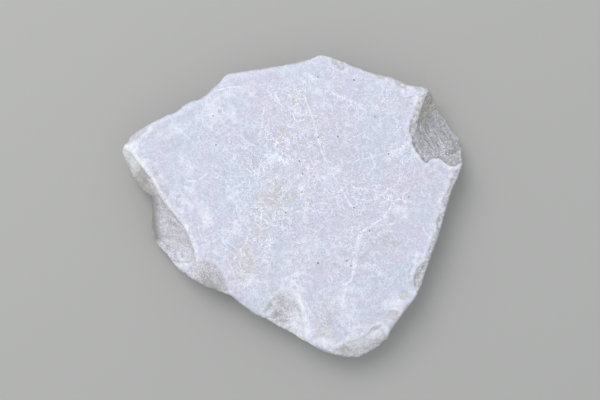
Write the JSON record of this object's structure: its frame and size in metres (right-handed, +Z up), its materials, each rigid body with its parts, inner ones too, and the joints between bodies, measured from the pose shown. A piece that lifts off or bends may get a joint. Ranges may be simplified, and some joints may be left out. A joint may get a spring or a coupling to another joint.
{
  "type": "stepping stone",
  "caption": "Flat natural stone slab with a worn, rounded rim and a few chipped hollows, laid on the ground to step on.",
  "frame": {"origin": "middle of the stone's bounding box, on the ground that the bed lies on", "axes": "+X along the stone's longest side, from its narrow tip towards its notched end; +Z up, out of the face that is stepped on"},
  "size_m": [0.447, 0.3952, 0.0558],
  "materials": {
    "stone": "matt, worn pale grey limestone with white scratches, its broken faces greyer and rougher"
  },
  "bodies": {
    "root": {"stone": "stone"}
  },
  "joints": []
}
